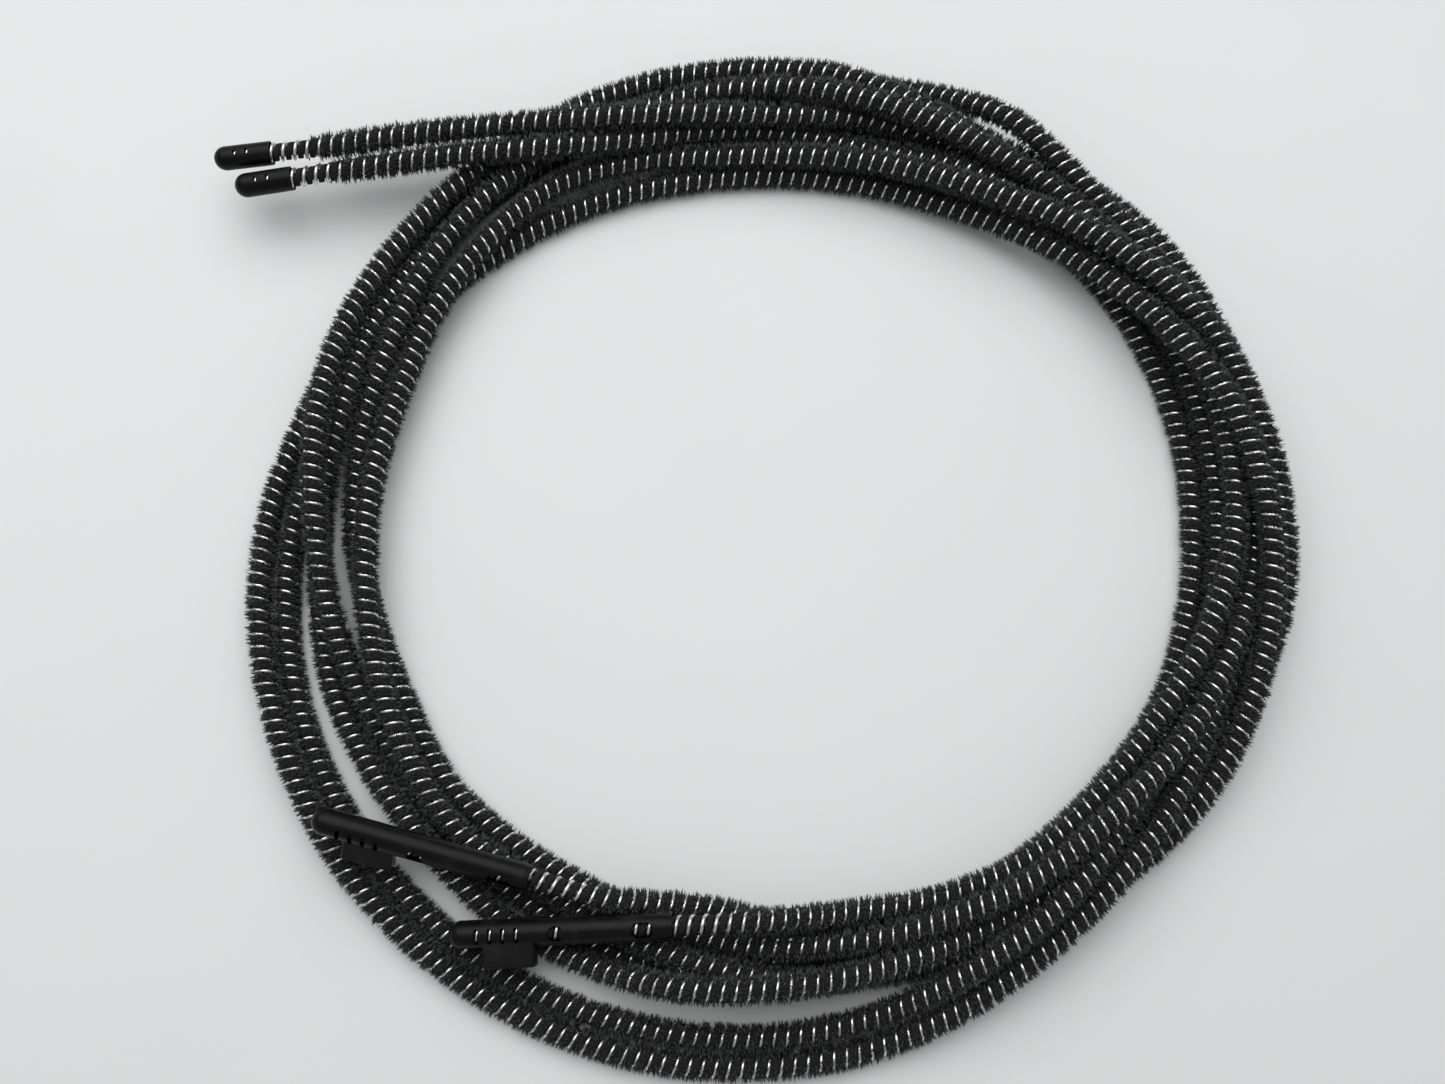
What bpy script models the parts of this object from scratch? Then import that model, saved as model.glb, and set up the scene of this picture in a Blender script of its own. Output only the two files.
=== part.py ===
"""A pair of sliding-roof drive cables, coiled together and laid flat.

Each cable is a stranded steel core with a left-handed rack wire wound round it in an open helix, and a
pile yarn wound in the groove between the wire's turns. A moulded driver sleeve with a side lug closes one
end, and a bullet-shaped moulded cap closes the other. Lengths here are millimetres until MM turns them
into metres.
"""

import math

import bmesh
import bpy
import numpy as np
from mathutils import Matrix, Vector

MM = 0.001

# Rack wire and core
RACK_DIAMETER = 4.5
RACK_WIRE = 0.9
RACK_LEAD = 2.7
CORE_DIAMETER = 2.2
TURN_POINTS = 8

# Pile winding along the free length, taken as a hollow sleeve round the core
PILE_DIAMETER = 5.0
PILE_BORE = 3.0
TUBE_SPACING = 20.0
SPLINE_STEP = 0.5

# Driver sleeve, with its lug and its inspection windows
SLEEVE_LENGTH = 46.0
SLEEVE_DIAMETER = 5.7
SLEEVE_BORE = 5.0
SLEEVE_NOSE_WALL = 4.0
COLLAR_DIAMETER = 5.4
COLLAR_LENGTH = 1.2
LUG_START = 7.4
LUG_LENGTH = 10.6
LUG_PROUD = 4.0
LUG_THICKNESS = 4.4
LUG_ROUNDING = 0.5
CREST_WINDOWS = (6.2, 8.9, 11.6, 14.3)
CREST_WINDOW_LENGTH = 1.3
ROUND_WINDOW = (22.4, 3.4)
OVAL_WINDOW = (39.95, 4.8)
WINDOW_WIDTH = 3.0
WINDOW_TILT = 12
SLEEVE_BARE_RUN = 16.0

# End cap
CAP_LENGTH = 12.8
CAP_DIAMETER = 5.3
CAP_BORE = 4.9
CAP_NOSE_WALL = 3.0
CAP_WINDOWS = (5.1, 7.8)
CAP_WINDOW_LENGTH = 0.9
CAP_WINDOW_WIDTH = 1.4
CAP_BARE_RUN = 13.0

TURNED_SIDES = 20
NOSE_STEPS = 5
GAP = 0.3

# Settling of the coil
SETTLE_STEPS = 600
SETTLE_FREE = 0.75
SINK = 0.05
SIDE_HOLD = 0.3
STIFFNESS = 0.25
SHARE = 0.45
REACH = 45.0
OWN_NEIGHBOURS = 3

# The route: stations every 20 degrees round the coil, each its radius and its height above the floor.
# Counting starts under the driver sleeves and runs anticlockwise, seen from above.
STATION_STEP = 20
LEFT_CABLE = {
    "nose": (-95.2, -61.0, 14.4),
    "mouth": (-50.0, -73.4, 11.5),
    "roll": 42,
    "crest": 7.55,
    "first_angle": 260,
    "stations": [
        (83.5, 6), (84.5, 3), (88.5, 3), (89.5, 3), (91.0, 3), (92.0, 3),
        (93.5, 3), (94.0, 3), (94.5, 3), (98.5, 3), (102.0, 3), (103.5, 4),
        (102.5, 6), (99.0, 8), (99.5, 4), (100.0, 3), (97.0, 5), (95.0, 7),
        (95.0, 7), (93.0, 6), (93.5, 4), (97.0, 3), (104.5, 3), (107.5, 7),
        (104.0, 11), (96.0, 13), (89.0, 11), (87.5, 7), (89.0, 5), (94.0, 7),
        (91.5, 9), (89.0, 9), (88.5, 9), (90.0, 8), (92.5, 8), (91.0, 7),
        (91.5, 4), (93.0, 3), (97.0, 3), (101.0, 4), (104.5, 9), (103.5, 13),
        (99.0, 12), (91.5, 9), (86.0, 5), (84.5, 3), (85.5, 3), (88.0, 3),
        (92.5, 3), (99.0, 3), (106.0, 3), (109.5, 3), (110.0, 3), (109.0, 3),
        (107.0, 3), (103.0, 4), (97.5, 8), (95.0, 8), (95.0, 7), (96.0, 5),
        (98.0, 5), (99.0, 5), (95.0, 7), (92.5, 8), (92.5, 9), (100.0, 13),
    ],
    "lead_out": [(-61.5, 85.0, 13.5), (-72.5, 84.0, 13.2), (-84.0, 82.5, 12.8)],
    "cap_nose": (-120.0, 77.0, 12.2),
    "cap_mouth": (-107.5, 79.0, 12.4),
}
RIGHT_CABLE = {
    "nose": (-67.5, -84.5, 9.5),
    "mouth": (-22.0, -82.5, 12.5),
    "roll": 0,
    "crest": 6.2,
    "first_angle": 280,
    "stations": [
        (81.5, 8), (86.0, 8), (87.5, 8), (92.0, 8), (97.5, 11), (101.0, 8),
        (100.0, 8), (98.5, 11), (99.5, 13), (102.0, 10), (102.0, 8), (98.5, 8),
        (94.5, 7), (92.0, 3), (88.0, 3), (89.5, 3), (92.0, 4), (89.5, 6),
        (88.0, 8), (89.5, 11), (92.0, 13), (97.5, 11), (103.0, 8), (103.0, 7),
        (103.5, 8), (103.0, 9), (106.0, 6), (108.0, 4), (107.0, 3), (105.5, 3),
        (106.0, 3), (111.0, 3), (113.0, 5), (114.5, 4), (114.0, 3), (112.0, 3),
        (109.0, 4), (103.0, 8), (99.0, 8), (101.0, 4), (106.5, 3), (109.5, 3),
        (108.0, 5), (103.0, 6), (105.0, 11), (107.5, 8), (107.0, 8), (106.0, 8),
        (102.5, 9), (98.5, 10), (96.0, 6), (93.5, 3), (92.5, 3), (90.0, 3),
        (89.5, 3), (92.0, 3), (93.5, 3), (98.0, 3), (101.5, 3), (103.0, 3),
        (103.5, 3), (99.5, 5), (95.5, 8), (95.5, 11), (105.5, 14),
    ],
    "lead_out": [(-59.5, 91.0, 13.5), (-73.5, 90.0, 13.2), (-87.5, 88.5, 12.8)],
    "cap_nose": (-125.0, 83.5, 12.2),
    "cap_mouth": (-112.5, 85.0, 12.4),
}
CABLES = {"left": LEFT_CABLE, "right": RIGHT_CABLE}


# ---------------------------------------------------------------- route


def heading(start, end):
    line = np.subtract(end, start).astype(float)
    return line / np.linalg.norm(line)


def straight_run(nose, mouth, length, bare_run):
    """The nose tip, the mouth and the end of the bare turns of a fitting, on one line."""
    along = heading(nose, mouth)
    return [np.array(nose) + along * step for step in (0.0, length, length + bare_run)]


def route_points(cable):
    """The hand-set points between the bare turns at the sleeve and those at the cap."""
    sleeve = straight_run(cable["nose"], cable["mouth"], SLEEVE_LENGTH, SLEEVE_BARE_RUN)
    cap = straight_run(cable["cap_nose"], cable["cap_mouth"], CAP_LENGTH, CAP_BARE_RUN)
    coil = []
    for count, (radius, height) in enumerate(cable["stations"]):
        angle = math.radians(cable["first_angle"] + STATION_STEP * count)
        coil.append((radius * math.cos(angle), radius * math.sin(angle), height))
    return sleeve, coil + list(cable["lead_out"]), cap


def smooth_curve(points, spacing):
    """Points at even spacing along the cubic curve through the given points."""
    points = np.asarray(points, float)
    lengths = np.linalg.norm(np.diff(points, axis=0), axis=1)
    slopes = np.diff(points, axis=0) / lengths[:, None]
    before, after = lengths[:-1, None], lengths[1:, None]
    inner = (slopes[:-1] * after + slopes[1:] * before) / (before + after)
    tangents = np.concatenate([slopes[:1], inner, slopes[-1:]])
    fine = []
    for index, length in enumerate(lengths):
        u = np.linspace(0, 1, max(2, int(length / SPLINE_STEP)), endpoint=False)[:, None]
        fine.append(
            (2 * u**3 - 3 * u**2 + 1) * points[index]
            + (u**3 - 2 * u**2 + u) * length * tangents[index]
            + (3 * u**2 - 2 * u**3) * points[index + 1]
            + (u**3 - u**2) * length * tangents[index + 1]
        )
    fine = np.concatenate(fine + [points[-1:]])
    run = np.concatenate([[0], np.cumsum(np.linalg.norm(np.diff(fine, axis=0), axis=1))])
    even = np.linspace(0, run[-1], round(run[-1] / spacing) + 1)
    return np.stack([np.interp(even, run, fine[:, axis]) for axis in range(3)], axis=1)


def laid_line(cable):
    """Nose tip, mouth, the evenly spaced free length, cap mouth and cap tip, before it settles."""
    sleeve, coil, cap = route_points(cable)
    # The mouths lend the curve its direction, and are cut off again with the straight bare turns.
    curve = smooth_curve([sleeve[1], sleeve[2]] + coil + [cap[2], cap[1]], SPLINE_STEP)
    first = np.argmin(np.linalg.norm(curve - sleeve[2], axis=1))
    last = np.argmin(np.linalg.norm(curve - cap[2], axis=1))
    free = smooth_curve(curve[first : last + 1], TUBE_SPACING)
    return np.concatenate([[sleeve[0], sleeve[1]], free, [cap[1], cap[0]]])


def nearest(start_a, end_a, start_b, end_b):
    """Where two sets of segments come closest: the share along each, and the vector from b to a."""
    along_a, along_b, between = end_a - start_a, end_b - start_b, start_a - start_b
    aa = (along_a * along_a).sum(1)
    ab = (along_a * along_b).sum(1)
    bb = (along_b * along_b).sum(1)
    ad = (along_a * between).sum(1)
    bd = (along_b * between).sum(1)
    share_a = np.clip((ab * bd - bb * ad) / np.maximum(aa * bb - ab * ab, 1e-6), 0, 1)
    share_b = np.clip((ab * share_a + bd) / bb, 0, 1)
    share_a = np.clip((ab * share_b - ad) / aa, 0, 1)
    apart = between + share_a[:, None] * along_a - share_b[:, None] * along_b
    return share_a, share_b, apart


def settle(lines):
    """Lets the cables sink on to the floor and on to each other, with no two strands touching."""
    points = np.concatenate(lines)
    laid = points.copy()
    owner = np.repeat(np.arange(len(lines)), [len(line) for line in lines])
    order = np.concatenate([np.arange(len(line)) for line in lines])
    last = np.array([len(line) for line in lines])[owner] - 1
    fixed = (order <= 2) | (order >= last - 2)
    free = np.where(fixed, 0.0, 1.0)[:, None]
    thick = np.where((order == 0), SLEEVE_DIAMETER, PILE_DIAMETER) / 2
    thick = np.where(order == last - 1, CAP_DIAMETER / 2, thick)
    starts = np.nonzero(owner[:-1] == owner[1:])[0]
    inner = np.nonzero(owner[:-2] == owner[2:])[0] + 1
    a, b = np.triu_indices(len(starts), 1)
    a, b = starts[a], starts[b]
    middle = np.zeros_like(points)
    middle[starts] = (points[starts] + points[starts + 1]) / 2
    far = (owner[a] != owner[b]) | (abs(order[a] - order[b]) > OWN_NEIGHBOURS)
    far &= np.linalg.norm(middle[a] - middle[b], axis=1) < REACH
    a, b = a[far], b[far]
    needed = thick[a] + thick[b] + GAP
    for step in range(SETTLE_STEPS):
        share_a, share_b, apart = nearest(points[a], points[a + 1], points[b], points[b + 1])
        distance = np.maximum(np.linalg.norm(apart, axis=1), 1e-6)
        push = apart * (SHARE * np.clip(needed - distance, 0, None) / distance)[:, None]
        move = np.zeros_like(points)
        np.add.at(move, a, push * (1 - share_a)[:, None])
        np.add.at(move, a + 1, push * share_a[:, None])
        np.add.at(move, b, -push * (1 - share_b)[:, None])
        np.add.at(move, b + 1, -push * share_b[:, None])
        points += np.clip(move, -1, 1) * free
        if step < SETTLE_STEPS * SETTLE_FREE:
            shift = points - laid
            bend = np.zeros_like(points)
            bend[inner] = (shift[inner - 1] + shift[inner + 1]) / 2 - shift[inner]
            points += STIFFNESS * bend * free
            points[:, :2] -= SIDE_HOLD * shift[:, :2] * free
            points[:, 2:] -= SINK * free
        points[:, 2] = np.maximum(points[:, 2], PILE_DIAMETER / 2)
    return np.split(points, np.cumsum([len(line) for line in lines])[:-1])


# ---------------------------------------------------------------- modelling helpers


def collection(name):
    made = bpy.data.collections.new(name)
    bpy.context.scene.collection.children.link(made)
    return made


def material(name, colour, roughness, metallic):
    made = bpy.data.materials.new(name)
    made.use_nodes = True
    shader = made.node_tree.nodes["Principled BSDF"]
    shader.inputs["Base Color"].default_value = (*colour, 1)
    shader.inputs["Roughness"].default_value = roughness
    shader.inputs["Metallic"].default_value = metallic
    return made


def add_mesh(name, mesh, group, finish=None):
    made = bpy.data.objects.new(name, mesh)
    group.objects.link(made)
    if finish:
        mesh.materials.clear()
        mesh.materials.append(finish)
    return made


def add_tube(name, points, radius, resolution, group, finish, caps=True):
    curve = bpy.data.curves.new(name, "CURVE")
    curve.dimensions = "3D"
    curve.bevel_depth = radius * MM
    curve.bevel_resolution = resolution
    curve.use_fill_caps = caps
    spline = curve.splines.new("POLY")
    spline.points.add(len(points) - 1)
    for target, point in zip(spline.points, points):
        target.co = (*(Vector(point) * MM), 1)
    curve.materials.append(finish)
    made = bpy.data.objects.new(name, curve)
    group.objects.link(made)
    return made


def to_mesh_object(obj, name, group, finish):
    """The curve's evaluated surface as a mesh object in its place."""
    graph = bpy.context.evaluated_depsgraph_get()
    mesh = bpy.data.meshes.new_from_object(obj.evaluated_get(graph))
    matrix = obj.matrix_world.copy()
    bpy.data.objects.remove(obj)
    made = add_mesh(name, mesh, group, finish)
    made.matrix_world = matrix
    return made


def fitting_matrix(nose, along, roll=0):
    """Local Z runs from the nose to the mouth, and local X points to the lug's side.

    With no roll local X is level and local -Y faces up. The roll turns local X down.
    """
    z_axis = Vector(along).normalized()
    x_axis = Vector((z_axis.y, -z_axis.x, 0)).normalized()
    y_axis = z_axis.cross(x_axis)
    matrix = Matrix((x_axis, y_axis, z_axis)).transposed().to_4x4()
    matrix.translation = Vector(nose) * MM
    return matrix @ Matrix.Rotation(math.radians(roll), 4, "Z")


def turned(name, profile, group, finish):
    """A solid of revolution about local Z from (radius, height) points, bottom centre last."""
    mesh = bpy.data.meshes.new(name)
    shape = bmesh.new()
    corners = [shape.verts.new((radius * MM, 0, height * MM)) for radius, height in profile]
    for one, other in zip(corners, corners[1:]):
        shape.edges.new((one, other))
    shape.to_mesh(mesh)
    shape.free()
    made = add_mesh(name, mesh, group, finish)
    screw = made.modifiers.new("turn", "SCREW")
    screw.axis = "Z"
    screw.steps = TURNED_SIDES
    screw.render_steps = TURNED_SIDES
    screw.use_merge_vertices = True
    screw.merge_threshold = 0.000001
    return made


def box_mesh(name, boxes):
    """One mesh of separate boxes, each given by its matrix and its size."""
    shape = bmesh.new()
    for matrix, size in boxes:
        scale = Matrix.Diagonal((*(side * MM for side in size), 1))
        bmesh.ops.create_cube(shape, size=1.0, matrix=matrix @ scale)
    mesh = bpy.data.meshes.new(name)
    shape.to_mesh(mesh)
    shape.free()
    return mesh


def boolean(obj, other, operation):
    modifier = obj.modifiers.new(other.name, "BOOLEAN")
    modifier.operation = operation
    modifier.solver = "EXACT"
    modifier.object = other


def helper(name, mesh, matrix, group):
    made = add_mesh(name, mesh, group)
    made.matrix_world = matrix
    made.hide_render = True
    made.display_type = "WIRE"
    return made


def bore_mesh(name, radius, start, end):
    """A cylinder turned by half a side, so that its corners miss those of the turned solid."""
    shape = bmesh.new()
    place = Matrix.Translation((0, 0, (start + end) / 2 * MM))
    place = place @ Matrix.Rotation(math.pi / TURNED_SIDES, 4, "Z")
    bmesh.ops.create_cone(
        shape, cap_ends=True, segments=TURNED_SIDES, radius1=radius * MM, radius2=radius * MM,
        depth=(end - start) * MM, matrix=place,
    )
    mesh = bpy.data.meshes.new(name)
    shape.to_mesh(mesh)
    shape.free()
    return mesh


def window_boxes(windows, width, tilt, radius):
    """Boxes through the upper wall only, turned by the tilt towards the lug's side."""
    turn = Matrix.Rotation(math.radians(tilt), 4, "Z")
    boxes = []
    for place, length in windows:
        centre = Matrix.Translation((0, -radius * MM, place * MM))
        boxes.append((turn @ centre, (width, radius, length)))
    return boxes


def nose_profile(radius):
    """A hemisphere's arc, from its equator to its tip at height zero."""
    steps = [math.radians(90 * step / NOSE_STEPS) for step in range(NOSE_STEPS + 1)]
    return [(radius * math.cos(turn), radius - radius * math.sin(turn)) for turn in steps]


# ---------------------------------------------------------------- pieces


def driver_sleeve(side, line, roll, parts, cutters, finish):
    matrix = fitting_matrix(line[0], line[1] - line[0], roll)
    radius = SLEEVE_DIAMETER / 2
    shoulder = SLEEVE_LENGTH - COLLAR_LENGTH
    profile = [
        (0, SLEEVE_LENGTH),
        (COLLAR_DIAMETER / 2, SLEEVE_LENGTH),
        (COLLAR_DIAMETER / 2, shoulder),
        (radius, shoulder),
    ]
    sleeve = turned(f"{side}_driver_sleeve", profile + nose_profile(radius), parts, finish)
    sleeve.matrix_world = matrix
    reach = radius + LUG_PROUD
    place = Matrix.Translation((reach / 2 * MM, 0, (LUG_START + LUG_LENGTH / 2) * MM))
    lug = helper(
        f"{side}_lug", box_mesh(f"{side}_lug", [(place, (reach, LUG_THICKNESS, LUG_LENGTH))]), matrix, cutters
    )
    rounding = lug.modifiers.new("rounding", "BEVEL")
    rounding.width = LUG_ROUNDING * MM
    rounding.segments = 1
    boolean(sleeve, lug, "UNION")
    bore = bore_mesh(f"{side}_sleeve_bore", SLEEVE_BORE / 2, SLEEVE_NOSE_WALL, SLEEVE_LENGTH + 1)
    boolean(sleeve, helper(f"{side}_sleeve_bore", bore, matrix, cutters), "DIFFERENCE")
    openings = [(place, CREST_WINDOW_LENGTH) for place in CREST_WINDOWS]
    openings += [ROUND_WINDOW, OVAL_WINDOW]
    boxes = window_boxes(openings, WINDOW_WIDTH, WINDOW_TILT, radius)
    windows = box_mesh(f"{side}_sleeve_windows", boxes)
    boolean(sleeve, helper(f"{side}_sleeve_windows", windows, matrix, cutters), "DIFFERENCE")


def end_cap(side, line, parts, cutters, finish):
    matrix = fitting_matrix(line[-1], line[-2] - line[-1])
    radius = CAP_DIAMETER / 2
    profile = [(0, CAP_LENGTH), (radius, CAP_LENGTH)]
    cap = turned(f"{side}_end_cap", profile + nose_profile(radius), parts, finish)
    cap.matrix_world = matrix
    bore = bore_mesh(f"{side}_cap_bore", CAP_BORE / 2, CAP_NOSE_WALL, CAP_LENGTH + 1)
    boolean(cap, helper(f"{side}_cap_bore", bore, matrix, cutters), "DIFFERENCE")
    openings = [(place, CAP_WINDOW_LENGTH) for place in CAP_WINDOWS]
    boxes = window_boxes(openings, CAP_WINDOW_WIDTH, 0, radius)
    windows = box_mesh(f"{side}_cap_windows", boxes)
    boolean(cap, helper(f"{side}_cap_windows", windows, matrix, cutters), "DIFFERENCE")


def rack_wire(name, matrix, first, last, crest, tilt, parts, finish):
    """A left-handed helix between two distances from the nose.

    At the crest's distance the wire passes under the windows' line, turned by their tilt.
    """
    radius = (RACK_DIAMETER - RACK_WIRE) / 2
    count = round((last - first) / RACK_LEAD * TURN_POINTS)
    start = math.radians(tilt - 90) - 2 * math.pi * (first - crest) / RACK_LEAD
    points = []
    for step in range(count + 1):
        angle = start - 2 * math.pi * step / TURN_POINTS
        height = first + RACK_LEAD * step / TURN_POINTS
        points.append((radius * math.cos(angle), radius * math.sin(angle), height))
    wire = add_tube(name, points, RACK_WIRE / 2, 0, parts, finish)
    wire.matrix_world = matrix


def core_strand(side, line, parts, finish):
    points = line[2:-2]
    start = line[0] + heading(line[0], line[1]) * (SLEEVE_NOSE_WALL + GAP)
    end = line[-1] + heading(line[-1], line[-2]) * (CAP_NOSE_WALL + GAP)
    add_tube(f"{side}_core_strand", [start, *points, end], CORE_DIAMETER / 2, 1, parts, finish)


def pile_winding(side, line, parts, finish):
    """A hollow sleeve over the core, for the rack wire with the pile wound between its turns."""
    guide = add_tube("guide", line[2:-2], PILE_DIAMETER / 2, 2, parts, finish, caps=False)
    pile = to_mesh_object(guide, f"{side}_pile_winding", parts, finish)
    wall = pile.modifiers.new("wall", "SOLIDIFY")
    wall.thickness = (PILE_DIAMETER - PILE_BORE) / 2 * MM
    wall.offset = -1


def drive_cable(side, line, roll, crest, parts, cutters, finishes):
    driver_sleeve(side, line, roll, parts, cutters, finishes["plastic"])
    end_cap(side, line, parts, cutters, finishes["plastic"])
    core_strand(side, line, parts, finishes["steel"])
    pile_winding(side, line, parts, finishes["pile"])
    clear = RACK_WIRE / 2 + GAP
    rack_wire(
        f"{side}_rack_wire_driver_end", fitting_matrix(line[0], line[1] - line[0], roll),
        SLEEVE_NOSE_WALL + clear, SLEEVE_LENGTH + SLEEVE_BARE_RUN - clear,
        crest, WINDOW_TILT, parts, finishes["steel"],
    )
    rack_wire(
        f"{side}_rack_wire_cap_end", fitting_matrix(line[-1], line[-2] - line[-1]),
        CAP_NOSE_WALL + clear, CAP_LENGTH + CAP_BARE_RUN - clear,
        CAP_WINDOWS[0], 0, parts, finishes["steel"],
    )


def stand_on_origin():
    """Moves everything so that the origin is under the middle of the object's box."""
    bpy.context.view_layer.update()
    graph = bpy.context.evaluated_depsgraph_get()
    corners = []
    for obj in bpy.context.scene.objects:
        if obj.hide_render:
            continue
        evaluated = obj.evaluated_get(graph)
        mesh = evaluated.to_mesh()
        corners.extend(obj.matrix_world @ vertex.co for vertex in mesh.vertices)
        evaluated.to_mesh_clear()
    low = [min(corner[axis] for corner in corners) for axis in range(3)]
    high = [max(corner[axis] for corner in corners) for axis in range(3)]
    foot = Vector(((low[0] + high[0]) / 2, (low[1] + high[1]) / 2, low[2]))
    for obj in bpy.context.scene.objects:
        obj.location -= foot


def main():
    for obj in list(bpy.data.objects):
        bpy.data.objects.remove(obj)
    parts = collection("drive_cable_pair")
    cutters = collection("cutters")
    finishes = {
        "plastic": material("black_moulding", (0.012, 0.012, 0.013), 0.32, 0.0),
        "steel": material("bright_steel", (0.62, 0.62, 0.60), 0.28, 1.0),
        "pile": material("charcoal_pile", (0.028, 0.031, 0.033), 0.9, 0.0),
    }
    lines = settle([laid_line(cable) for cable in CABLES.values()])
    for (side, cable), line in zip(CABLES.items(), lines):
        drive_cable(side, line, cable["roll"], cable["crest"], parts, cutters, finishes)
    stand_on_origin()


main()
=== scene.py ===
"""The looks of a pair of sliding-roof drive cables, coiled together and laid flat.

Lengths are millimetres until MM turns them into metres. A cable's own places are given as a run along its
middle line from the sleeve's nose tip, an angle round that line and a radius out from it.
"""

import math

import bmesh
import bpy
import numpy as np
from mathutils import Matrix, Vector


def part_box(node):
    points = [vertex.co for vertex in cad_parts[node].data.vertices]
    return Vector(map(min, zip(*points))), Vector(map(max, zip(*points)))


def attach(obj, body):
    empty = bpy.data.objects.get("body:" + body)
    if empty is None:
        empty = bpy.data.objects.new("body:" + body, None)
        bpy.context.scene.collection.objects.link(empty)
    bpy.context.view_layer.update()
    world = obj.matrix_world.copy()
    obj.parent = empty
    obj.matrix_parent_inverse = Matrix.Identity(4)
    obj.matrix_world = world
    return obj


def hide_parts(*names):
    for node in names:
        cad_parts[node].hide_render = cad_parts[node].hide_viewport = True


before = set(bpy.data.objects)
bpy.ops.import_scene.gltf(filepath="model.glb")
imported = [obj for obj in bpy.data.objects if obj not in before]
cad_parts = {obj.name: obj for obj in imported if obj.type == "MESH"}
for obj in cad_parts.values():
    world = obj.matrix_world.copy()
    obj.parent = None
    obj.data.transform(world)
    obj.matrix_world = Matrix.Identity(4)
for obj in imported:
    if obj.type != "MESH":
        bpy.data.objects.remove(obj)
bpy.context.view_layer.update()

MM = 0.001

# Rack wire and core
RACK_DIAMETER = 4.5
RACK_WIRE = 0.9
RACK_LEAD = 2.7
CORE_DIAMETER = 2.2
CORE_WIRES = 6
CORE_LAY = 13.0
CORE_STEP = 1.3
# Radius between two of its wires, against the radius over them
CORE_VALLEY = 0.78

# How finely the wire is drawn: rings in one turn near the fittings and elsewhere, and sides
FINE_RINGS = 26
RINGS = 14
WIRE_SIDES = 7
# Rows that a long bar takes up in its bake map
MAP_ROWS = 64
CORE_MAP_ROWS = 48

# Pile yarn in the groove between the wire's turns
PILE_DIAMETER = 5.0
YARN_SECTION = ((-0.9, 1.75), (-0.92, 2.12), (-0.5, 2.34), (0.5, 2.34), (0.92, 2.12), (0.9, 1.75))
YARN_ROOT = 1.35
YARN_ROOT_WIDTH = 1.2
# Height and width of the yarn on the bare turns, against the full yarn
BARE_YARN_RISE = 0.62
BARE_YARN_WIDTH = 0.7
PILE_RISE = 6.0

# Bristles of the pile
TUFTS_A_TURN = 84
BRISTLES_A_TUFT = 3
TUFT_SPREAD = 0.13
TUFT_GATHER = 0.45
TUFT_LEAN = 0.2
BRISTLE_ROOT = 1.95
BRISTLE_TIP = 3.3
BRISTLE_TIP_SPREAD = 0.14
BRISTLE_WIDTH = 0.12
BRISTLE_WIDTH_RANGE = (0.7, 1.3)
BRISTLE_MARGIN = 1.0
TUFT_TONE = 0.6
GROOVE_REACH = 0.95
SPLAY = 0.3
BRISTLE_PIECES = 5
BRISTLE_SEED = 7
# A direction that hardly any bristle points along
SKEW = (0.3, 0.5, 0.81)
# Where the four corners of a bristle lie in its own cell of the bake map
BRISTLE_MAP = ((0.05, 0.2), (0.5, 0.05), (0.95, 0.2), (0.5, 0.95))
FLOOR_CLEAR = 0.03

# Driver sleeve
SLEEVE_LENGTH = 46.0
SLEEVE_DIAMETER = 5.7
SLEEVE_BORE = 5.0
SLEEVE_NOSE_WALL = 4.0
COLLAR_DIAMETER = 5.4
COLLAR_LENGTH = 1.2
LUG_START = 7.4
LUG_LENGTH = 10.6
LUG_PROUD = 4.0
LUG_THICKNESS = 4.4
LUG_ROUNDING = 0.45
CREST_WINDOWS = (6.2, 8.9, 11.6, 14.3)
CREST_WINDOW_LENGTH = 0.9
# Each larger opening: its middle and its length
ROUND_WINDOW = (22.4, 3.3)
OVAL_WINDOW = (39.95, 4.7)
WINDOW_WIDTH = 3.2
WINDOW_TILT = 12.0
SLEEVE_BARE_RUN = 16.0

# End cap
CAP_LENGTH = 12.8
CAP_DIAMETER = 5.3
CAP_BORE = 4.9
CAP_NOSE_WALL = 3.0
CAP_WINDOWS = (5.1, 7.8)
CAP_WINDOW_LENGTH = 0.7
CAP_WINDOW_WIDTH = 1.2
CAP_BARE_RUN = 13.0

# Finish of the mouldings
MOULDING_SIDES = 72
NOSE_STEPS = 14
EDGE_ROUNDING = 0.12
EDGE_STEPS = 2
EDGE_ANGLE = 40.0
SHARP_ANGLE = 38.0
LUG_STEPS = 3
WINDOW_STEPS = 7
WINDOW_ROUNDING = 0.96
WELD = 0.001
OVERSHOOT = 1.0

# Clearance between strands, and between the wire and a fitting's end wall
GAP = 0.3

# Settling of the coil
SETTLE_STEPS = 600
SETTLE_FREE = 0.75
SINK = 0.05
SIDE_HOLD = 0.3
STIFFNESS = 0.25
SHARE = 0.45
REACH = 45.0
OWN_NEIGHBOURS = 3
TUBE_SPACING = 20.0
SPLINE_STEP = 0.5

# Camera, from where the coil's middle and its distance put it
LENS = 37.4
SENSOR = 36.0
VIEW_DISTANCE = 331.0
VIEW_TILT = 11.0
VIEW_TARGET = (-11.65, -1.05, 0.0)
NEAR_CLIP = 10.0

# Table and light
TABLE_SIDE = 3200.0
LIGHT_POWER = 2.95
LIGHT_SPREAD = 110.0
LIGHT_PLACE = (-100.0, 340.0, 620.0)
LIGHT_TARGET = (-60.0, 20.0, 0.0)
LIGHT_SIZE = (1200.0, 850.0)
ROOM_LIGHT = 0.38

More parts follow.
